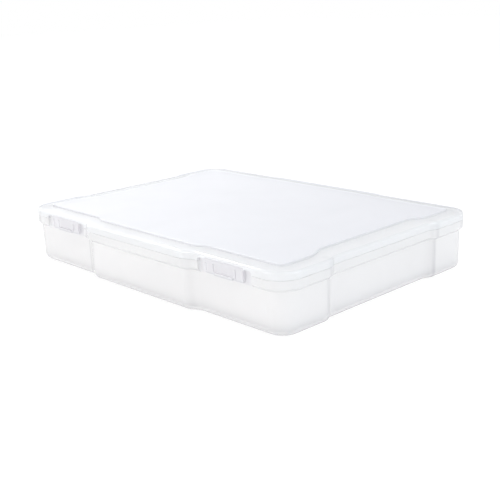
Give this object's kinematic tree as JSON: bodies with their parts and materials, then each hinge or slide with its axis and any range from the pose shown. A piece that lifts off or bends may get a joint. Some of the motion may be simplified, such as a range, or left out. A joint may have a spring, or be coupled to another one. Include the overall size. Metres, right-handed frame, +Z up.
{
  "type": "photo storage case",
  "caption": "shallow translucent box for photo prints, with a hinged lid, a raised stacking panel and snap latches on the long front side",
  "frame": {"origin": "centre of the box's outside at the level of the table it stands on", "axes": "X along the long side, latches and front at -Y, hinges at +Y, Z up"},
  "size_m": [0.173, 0.1274, 0.0268],
  "materials": {
    "tray_plastic": "translucent milky polypropylene, polished outside",
    "lid_plastic": "translucent milky polypropylene, fine matt panel and polished edge",
    "latch_plastic": "translucent milky polypropylene, polished"
  },
  "bodies": {
    "tray": {"tray": "tray_plastic"},
    "lid": {"lid": "lid_plastic"},
    "latch_left": {"latch_left": "latch_plastic"},
    "latch_right": {"latch_right": "latch_plastic"}
  },
  "joints": [
    {"name": "lid_hinge", "type": "hinge", "parent": "tray", "child": "lid", "pos_m": [0, 0.0622, 0.02255], "axis": [-1, 0, 0], "range_deg": [0, 180]},
    {"name": "latch_left_hinge", "type": "hinge", "parent": "lid", "child": "latch_left", "pos_m": [-0.0551, -0.06065, 0.0242], "axis": [-1, 0, 0], "range_deg": [0, 75], "stiffness_Nm_per_rad": 0.002},
    {"name": "latch_right_hinge", "type": "hinge", "parent": "lid", "child": "latch_right", "pos_m": [0.0551, -0.06065, 0.0242], "axis": [-1, 0, 0], "range_deg": [0, 75], "stiffness_Nm_per_rad": 0.002}
  ]
}
